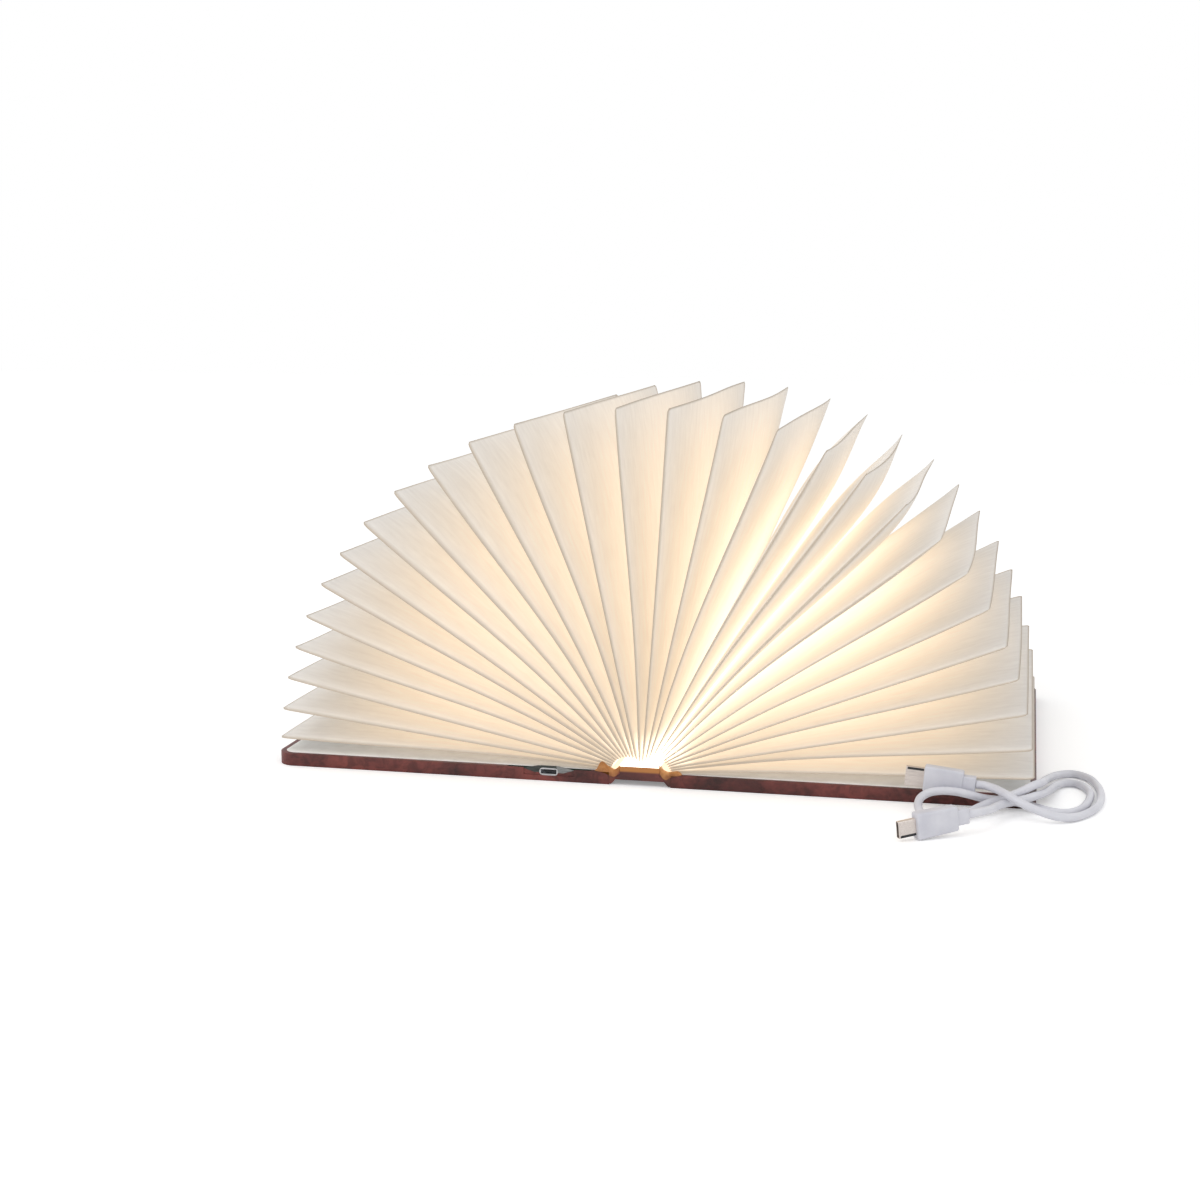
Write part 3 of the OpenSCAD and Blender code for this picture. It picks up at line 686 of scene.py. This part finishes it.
def printSpine():
    # two dark panels, with gold rules, dots and curls across the spine
    outside, inside = spinePrint["panelRules"]
    half = spinePrint["half"]
    bm = bmesh.new()
    levels = list(spinePrint["rules"])
    for top, low in spinePrint["panels"]:
        patchInto(bm, [Vector(p) for p in ((-half, -low), (half, -low), (half, -top), (-half, -top))])
        levels += [top - outside, top + inside, low - inside, low + outside]
    for face in bm.faces:
        face.material_index = 1
    lines = bmesh.new()
    for level in levels:
        ribbonInto(lines, [Vector((-half, -level)), Vector((half, -level))], printed["line"])
    for level in spinePrint["dotRows"]:
        for step in range(-3, 4):
            dotAt(lines, Vector((step * printed["pitch"], -level)), printed["dot"])
    out, size, turns = spinePrint["curl"]
    below, long, wide = spinePrint["petal"]
    for level in spinePrint["curlRows"]:
        for way in (-1, 1):
            ribbonInto(lines, spiral(Vector((way * out, -level)), size, 90 - 90 * way, turns * way),
                       printed["thin"])
        patchInto(lines, petal(Vector((0, -level - below)), 90, long, wide))
    bmesh.ops.translate(lines, verts=lines.verts, vec=(0, 0, -spinePrint["film"]))
    joinInto(bm, lines)
    matrix = (Matrix.Translation((0, bookEnd, spineBottom - printed["depth"] * mm))
              @ Matrix.Diagonal((mm, mm, mm, 1)))
    placePrint("spinePrint", bm, matrix, "spine", [goldPrint, navyPanel])


for side in outwards:
    printCover(side)
printSpine()
print("gold print laid")


# ---- covers and spine

wrap = {"coverEdge": 0.45, "spineEdge": 0.3}


def makeCoverWrap(side):
    bm = mergedCopy(side + "_wrap")
    for v in bm.verts:  # room for the print below the outer face
        if v.co.z < 0.01 * mm:
            v.co.z = printed["depth"] * mm
    piece = finishMesh(side + "CoverWrap", bm, [covering])
    softenEdges(piece, wrap["coverEdge"] * mm)
    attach(piece, side + "_cover")
    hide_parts(side + "_wrap")


def makeSpineWrap():
    piece = finishMesh("spineWrap", mergedCopy("spine_wrap"), [spineCovering])
    softenEdges(piece, wrap["spineEdge"] * mm)
    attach(piece, "spine")
    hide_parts("spine_wrap")


hinge = {"bendStart": 9.2, "bendEnd": 13.3, "bandDepth": 1.4, "glareFrom": 2.2, "glareTo": 5.0, "edge": 0.12,
         "bandDark": 0.55, "shorter": 0.2}
# the upper side of the strip, from the block's rim to the tab on the liner, and its lower side back (x, z)
hingeUpper = [(8.68, 8.75), (9.1, 7.9), (9.7, 6.5), (10.6, 5.2), (11.6, 4.75), (12.6, 5.1), (13.35, 5.92),
              (14.2, 6.0), (16.8, 5.98)]
hingeLower = [(16.9, 5.74), (13.7, 5.72), (13.25, 5.4), (13.25, 0.5), (12.6, 0.35), (11.9, 0.9), (11.2, 1.7),
              (10.68, 2.4), (10.66, 3.4), (8.67, 5.05)]
# the lining's wavy end at each side: its upper edge from the block outwards, and its lower edge
bandUpper = {"front": [(8.3, 9.1), (9.3, 7.9), (10.9, 6.7), (12.6, 7.3), (14.2, 8.1), (15.9, 9.6),
                       (17.3, 9.4), (18.6, 6.8), (19.6, 5.9)],
             "back": [(8.3, 9.3), (9.6, 8.2), (10.9, 7.2), (12.4, 6.8), (14.2, 7.0), (16.2, 7.3),
                      (17.6, 6.7), (18.2, 5.9)]}
bandLower = {"front": [(8.9, 5.9), (9.7, 4.6), (11.2, 3.6), (13.2, 4.1), (15.4, 4.9), (18.4, 5.6)],
             "back": [(8.9, 5.9), (9.9, 4.2), (11.4, 3.4), (13.0, 4.3), (15.2, 5.2), (17.2, 5.5)]}


def addEndBand(bm, side, end, lit):
    # the lining's end, drawn from the block's corner through the groove and up over the cover
    way = outwards[side]
    upper = throughPoints([Vector(p) for p in bandUpper[side]], 4)
    lower = throughPoints([Vector(p) for p in bandLower[side]], 4)
    depth = hinge["bandDepth"] * mm
    band = profileAlongSpine([Vector((way * p.x, p.y)) * mm for p in upper + lower[::-1]], depth,
                             end * (bookEnd - depth / 2))
    known = set(bm.verts)
    joinInto(bm, band)
    for v in bm.verts:
        if v not in known:
            x = v.co.x * way / mm
            top = min(upper, key=lambda p: abs(p.x - x)).y
            bottom = min(lower, key=lambda p: abs(p.x - x)).y
            height = max(0.0, min(1.0, (v.co.z / mm - bottom) / max(0.5, top - bottom)))
            # painted shade: the band is lit less towards its lower edge
            v[lit] = hinge["bandDark"] + (1 - hinge["bandDark"]) * height


def cutAcross(bm, distances):
    # rows of edges across the strip, so that the light can fade along it
    for distance in distances:
        for end in (-1, 1):
            bmesh.ops.bisect_plane(bm, geom=bm.verts[:] + bm.edges[:] + bm.faces[:], dist=1e-6,
                                   plane_co=(0, end * (bookEnd - distance * mm), 0), plane_no=(0, 1, 0))


def makeHinge(side):
    way = outwards[side]
    upper = throughPoints([Vector(p) for p in hingeUpper], 5)
    outline = [Vector((way * p.x, p.y)) * mm for p in upper + [Vector(p) for p in hingeLower]]
    bm = profileAlongSpine(outline, 2 * bookEnd - hinge["shorter"] * mm)
    cutAcross(bm, (hinge["glareFrom"], hinge["glareTo"]))
    lit = bm.verts.layers.float.new("lit")
    glare = bm.verts.layers.float.new("glare")
    for v in bm.verts:
        height = v.co.z / mm
        onTop = min(abs(v.co.x * way / mm - p.x) + abs(height - p.y) for p in upper) < 0.01
        v[lit] = 1.0 if onTop else 0.0
        # painted light: the upper side glows white away from the strip's ends, fading out towards each end
        v[glare] = 1.0 if onTop and bookEnd - abs(v.co.y) > (hinge["glareTo"] - 0.1) * mm else 0.0
    for end in (-1, 1):
        addEndBand(bm, side, end, lit)
    piece = finishMesh(side + "HingeStrip", bm, [hingeLeather])
    piece.data.set_sharp_from_angle(angle=math.radians(50))
    softenEdges(piece, hinge["edge"] * mm, 2, 50)
    bpy.context.view_layer.update()
    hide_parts(side + "_hinge")
    return piece


def applyModifiers(piece):
    evaluated = piece.evaluated_get(bpy.context.evaluated_depsgraph_get())
    mesh = bpy.data.meshes.new_from_object(evaluated)
    piece.modifiers.clear()
    piece.data = mesh


def bendAtHinge(piece):
    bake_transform(piece)


# the ribbon lead's lower side, outwards from the block (x, z)
ribbon = {"thickness": 0.3, "line": [(4, 6.65), (8, 6.65), (9.75, 6.65), (10.6, 5.45), (11.6, 4.95),
                                     (12.7, 5.2), (13.5, 5.0), (15, 4.4), (26, 4.4)]}


def makeLightLead():
    low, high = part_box("light_lead")
    line = throughPoints([Vector(p) for p in ribbon["line"]], 5)
    thick = Vector((0, ribbon["thickness"]))
    outline = [Vector((-p.x, p.y)) * mm for p in line + [p + thick for p in reversed(line)]]
    bm = profileAlongSpine(outline, high.y - low.y, (low.y + high.y) / 2)
    piece = finishMesh("lightLead", bm, [amberFilm], smooth=False)
    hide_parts("light_lead")
    return piece


port = {"tip": 0.35, "tipTop": 5.25, "plateTop": 6.7, "shoulder": 4.6, "plateLow": 3.7, "plateIn": 0.14,
        "ringWidth": 8.4, "ringHeight": 3.3, "ringWall": 0.42, "ringOut": 0.02, "ringOver": 0.7,
        "plateDepth": 0.3, "taperFoot": 3}


def pill(width, height, steps=8):
    # corner points of a bar with round ends, about its own middle
    radius = height / 2
    points = []
    for way, start in ((1, -90), (-1, 90)):
        for step in range(steps + 1):
            turn = math.radians(start + 180 * step / steps)
            points.append(Vector((way * (width / 2 - radius) + radius * math.cos(turn),
                                  radius * math.sin(turn))))
    return points


def makePort():
    # the port's plate tapers into the cover's edge, with a rolled rim round the mouth
    low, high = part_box("socket_bezel")
    socketLow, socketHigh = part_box("charge_socket")
    middle = Vector(((low.x + high.x) / 2, (socketLow.z + socketHigh.z) / 2)) / mm
    half = (high.x - low.x) / 2 / mm
    front = -bookEnd
    inset = front + port["plateIn"] * mm
    paleFinish, coveringFinish, darkFinish, rimFinish = range(4)
    bm = bmesh.new()
    rim = pill(port["ringWidth"], port["ringHeight"])
    mouth = pill(port["ringWidth"] - 2 * port["ringWall"], port["ringHeight"] - 2 * port["ringWall"])
    # on each side the covering turned in, the plate's taper before it, and the plate's bridge above the mouth
    bottom, edge, top = (z - middle.y for z in (low.z / mm, port["tipTop"], port["plateTop"]))
    plateFoot = port["plateLow"] - middle.y
    ringSide = port["ringWidth"] / 2 - port["ringOver"]
    over = port["ringHeight"] / 2 - port["ringWall"]
    split = front + port["plateDepth"] * mm
    shapes = []
    # painted shade: the left taper takes a darker copy of the plate's metal than the right taper; the bridge above
    # the mouth takes the darker copy too
    for way, finish in ((-1, darkFinish), (1, paleFinish)):
        turned = [(way * half, bottom), (way * half, edge), (way * ringSide, edge), (way * ringSide, bottom)]
        taper = [(way * (half + port["tip"]), edge), (way * port["shoulder"], top), (way * ringSide, top),
                 (way * ringSide, plateFoot), (way * (ringSide + port["taperFoot"]), plateFoot)]
        bridge = [(0, over), (0, top), (way * ringSide, top), (way * ringSide, over)]
        shapes += [(turned, split, high.y, coveringFinish), (taper, inset, split, finish),
                   (bridge, inset, high.y, darkFinish)]
    sill = [(-ringSide, bottom), (ringSide, bottom), (ringSide, -over), (-ringSide, -over)]
    shapes.append((sill, inset, high.y, coveringFinish))
    for outline, near, far, finish in shapes:
        outline = [(middle + Vector(p)) * mm for p in outline]
        joinInto(bm, profileAlongSpine(outline, far - near, (near + far) / 2), finish)
    ring = bmesh.new()
    loops = [[ring.verts.new(((middle.x + p.x) * mm, y, (middle.y + p.y) * mm)) for p in edge]
             for edge, y in ((rim, inset), (rim, front + port["ringOut"] * mm),
                             (mouth, front + port["ringOut"] * mm), (mouth, high.y))]
    for first, second in zip(loops, loops[1:]):
        for k in range(len(first)):
            nextOne = (k + 1) % len(first)
            ring.faces.new((first[k], first[nextOne], second[nextOne], second[k]))
    bmesh.ops.recalc_face_normals(ring, faces=ring.faces)
    joinInto(bm, ring, rimFinish)
    piece = finishMesh("portPlate", bm, [bezelMetal, covering, darkerPlateMetal, socketSteel])
    piece.data.set_sharp_from_angle(angle=math.radians(40))
    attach(piece, "front_cover")
    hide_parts("socket_bezel")


for side in outwards:
    makeCoverWrap(side)
    strip = makeHinge(side)
    applyModifiers(strip)
    bendAtHinge(strip)
makeSpineWrap()
makePort()
bendAtHinge(makeLightLead())
print("covers, spine and hinges made")


# ---- pages: each leaf is a sheet folded over at its outer edge

page = {"paper": 0.1, "layerGap": 0.06, "corner": 3.0, "bow": 2.2, "arch": 2.5, "cup": 1.6, "wave": 1.3,
        "waves": (1.2, 2.4), "twist": 0.8, "rim": 0.12, "across": 22, "along": 24, "flatShare": 0.024,
        "fill": 0.3, "fullest": 0.97, "swollenAngle": 54, "swollenSpread": 20, "mostSpacing": 0.13}
pageLight = {"near": 0.42, "nearReach": 0.03, "base": 0.36, "inner": 0.1, "innerReach": 0.4, "slanted": 0.08,
             "uprightLess": 0.2, "uprightTip": 0.45, "deepest": 1.25, "edgeLess": 0.8}


def leafAngle(side, number):
    ratio = ratios.get(f"{side}_page_{number}_fold", 0.0)
    return math.radians(90 * (1 - ratio))


def leafPlace(side, number):
    # direction, normal, inner and outer reach and offset of a leaf, from its hinge line
    way = outwards[side]
    angle = leafAngle(side, number)
    direction = Vector((way * math.cos(angle), 0, math.sin(angle)))
    normal = Vector((-way * math.sin(angle), 0, math.cos(angle)))
    line = Vector((way * hingeX, 0, hingeZ))
    corners = [v.co - line for v in nodes[f"{side}_leaf_{number}"].data.vertices]
    reaches = [c.dot(direction) for c in corners]
    offsets = [c.dot(normal) for c in corners]
    return {"line": line, "direction": direction, "normal": normal, "angle": angle,
            "inner": min(reaches), "outer": max(reaches), "offset": (min(offsets) + max(offsets)) / 2,
            "half": max(c.y for c in corners), "spacing": leafAngle(side, number + 1) - angle}


def leafShape(place, chance):
    # bow, cup and waves of one leaf, the same for both of its layers
    phase = chance.uniform(0, 6.28)
    waves = chance.uniform(*page["waves"])
    bow = chance.uniform(-0.5, 0.5) * page["bow"]
    twist = chance.uniform(-1, 1) * page["twist"]
    leaning = math.sin(2 * place["angle"])

    def away(share, end):
        lift = (bow + page["arch"] * leaning) * math.sin(math.pi * share ** 0.7) ** 2
        ripple = (math.sin(waves * end * 1.57 + phase) * page["wave"] * 0.5 + twist * end) * share ** 2
        return (lift + ripple - page["cup"] * leaning * (1 - end ** 2) * share) * mm
    return away


def layerLift(place, reach, share, end):
    # how far each of a leaf's two layers swells towards the next leaf; some leaves nearly meet
    spread = (math.degrees(place["angle"]) - page["swollenAngle"]) / page["swollenSpread"]
    fill = page["fill"] + (page["fullest"] - page["fill"]) * math.exp(-spread ** 2)
    room = reach * min(place["spacing"], page["mostSpacing"]) / 2
    return page["layerGap"] * mm + room * fill * (1 - share ** 8) * (1 - end ** 2)


def makeLeaf(side, number, chance):
    place = leafPlace(side, number)
    away = leafShape(place, chance)
    span = place["outer"] - place["inner"]
    corner = page["corner"] * mm
    rows = (page["along"] - 1) / page["along"]
    bm = bmesh.new()
    bmesh.ops.create_grid(bm, x_segments=2 * page["across"], y_segments=page["along"], size=1)
    rim = bm.verts.layers.float.new("rim")
    glow = bm.verts.layers.float.new("glow")
    for v in bm.verts:
        fromFold = abs(v.co.x)
        layer = 0 if fromFold < 1e-5 else math.copysign(1, v.co.x)
        end = v.co.y
        share = 1 - fromFold ** 1.6
        reach = place["inner"] + span * share
        past = max(0.0, reach - (place["outer"] - corner))
        half = place["half"] - corner + math.sqrt(max(0.0, corner ** 2 - past ** 2))
        edge = abs(abs(end) - 1) < 1e-4
        if edge:
            y = math.copysign(half, end)
        else:
            y = math.copysign(min(1.0, abs(end) / rows) * (half - page["rim"] * mm), end)
        lift = layer * layerLift(place, reach, share, end) + away(share, end)
        v.co = place["line"] + place["direction"] * reach + place["normal"] * (place["offset"] + lift)
        v.co.y = y
        # rim marks the cut edges and the outer fold for their painted shade
        v[rim] = 1.0 if edge or layer == 0 else 0.0
        v[glow] = pageGlow(share, end, place["angle"])
    bmesh.ops.recalc_face_normals(bm, faces=bm.faces)
    piece = finishMesh(f"{side}Leaf{number}", bm, [pagePaper])
    thickness = piece.modifiers.new("paper", "SOLIDIFY")
    thickness.thickness = page["paper"] * mm
    thickness.offset = 0
    applyModifiers(piece)
    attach(piece, f"{side}_page_{number}")
    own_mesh(piece)
    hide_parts(f"{side}_leaf_{number}")


def pageGlow(share, end, angle):
    # how strongly the paper shines with the lamp's light: most near the spine and deep inside
    upright = math.sin(angle) ** 6
    slanted = math.sin(2 * angle)
    near = pageLight["near"] * math.exp(-share / pageLight["nearReach"])
    far = pageLight["base"] + pageLight["inner"] * math.exp(-share / pageLight["innerReach"])
    far += pageLight["slanted"] * slanted
    far *= 1 - pageLight["uprightLess"] * upright
    far *= 1 - (1 - pageLight["uprightTip"] * upright) * share ** 4
    deep = pageLight["deepest"] - pageLight["edgeLess"] * abs(end) ** 1.5
    return max(0.0, min(1.0, near + far * deep))


chance = random.Random(11)
for side in outwards:
    leafCount = sum(name.startswith(side + "_leaf_") for name in nodes)
    for number in range(1, leafCount + 1):
        makeLeaf(side, number, chance)
print("leaves folded:", 2 * leafCount)


# ---- finishes of the CAD parts that stay as they are

nodeFinish = {
    "spine_board": greyBoard, "light_bar": whitePlastic, "led_strip": stripFilm, "led_chips": litChips,
    "diffuser": litDiffuser, "front_board": greyBoard, "back_board": greyBoard, "front_liner": linerPaper,
    "back_liner": linerPaper, "front_magnets": magnetPlate, "back_magnets": magnetPlate,
    "switch_magnet": magnetPlate, "battery": batteryFoil, "battery_lead": redWire,
    "circuit_board": circuitGreen, "board_parts": blackParts, "charge_socket": socketSteel,
    "socket_tongue": blackParts, "socket_bezel": bezelMetal}
for name, material in nodeFinish.items():
    slots = nodes[name].material_slots
    if not slots:
        nodes[name].data.materials.append(material)
    for slot in slots:
        slot.material = material
print("CAD parts finished")


# ---- floor, light and background

studio = {"floor": 6.0, "floorLift": 0.24, "world": 0.8, "aim": (0, 0, 0.05),
          "lamps": {"keyLamp": ((-0.7, -0.9, 1.3), 0.9, 5.0), "fillLamp": ((1.2, -1.1, 0.9), 1.0, 2.0)}}


def makeStudio():
    bm = bmesh.new()
    bmesh.ops.create_grid(bm, x_segments=1, y_segments=1, size=studio["floor"] / 2)
    material, tree, shader = newMaterial("whiteFloor", {"Roughness": 0.9, "Specular IOR Level": 0.0,
                                                        "Base Color": (0.97, 0.97, 0.97, 1),
                                                        "Emission Color": (1, 1, 1, 1)})
    seen = tree.nodes.new("ShaderNodeLightPath")
    lift = tree.nodes.new("ShaderNodeMath")
    lift.operation = "MULTIPLY"
    lift.inputs[1].default_value = studio["floorLift"]
    tree.links.new(seen.outputs["Is Camera Ray"], lift.inputs[0])
    tree.links.new(lift.outputs["Value"], shader.inputs["Emission Strength"])
    floor = finishMesh("floor", bm, [material], smooth=False)
    world = bpy.data.worlds.new("white")
    world.use_nodes = True
    scene.world = world
    tree = world.node_tree
    background = tree.nodes["Background"]
    seen = tree.nodes.new("ShaderNodeBackground")
    for shade, strength in ((background, studio["world"]), (seen, 1.0)):
        shade.inputs["Color"].default_value = (1, 1, 1, 1)
        shade.inputs["Strength"].default_value = strength
    rays = tree.nodes.new("ShaderNodeLightPath")
    either = tree.nodes.new("ShaderNodeMath")
    either.operation = "MAXIMUM"
    mix = tree.nodes.new("ShaderNodeMixShader")
    for source, target in ((rays.outputs["Is Camera Ray"], either.inputs[0]),
                           (rays.outputs["Is Glossy Ray"], either.inputs[1]),
                           (either.outputs["Value"], mix.inputs["Fac"]),
                           (background.outputs["Background"], mix.inputs[1]),
                           (seen.outputs["Background"], mix.inputs[2]),
                           (mix.outputs["Shader"], tree.nodes["World Output"].inputs["Surface"])):
        tree.links.new(source, target)


def makeLamp(name, place, size, power):
    lamp = bpy.data.lights.new(name, "AREA")
    lamp.shape = "SQUARE"
    lamp.size = size
    lamp.energy = power
    piece = addObject(name, lamp)
    piece.location = place
    piece.rotation_euler = (Vector(studio["aim"]) - Vector(place)).to_track_quat("-Z", "Y").to_euler()


makeStudio()
for name, (place, size, power) in studio["lamps"].items():
    makeLamp(name, place, size, power)
scene.view_settings.view_transform = "Standard"
print("studio lit")
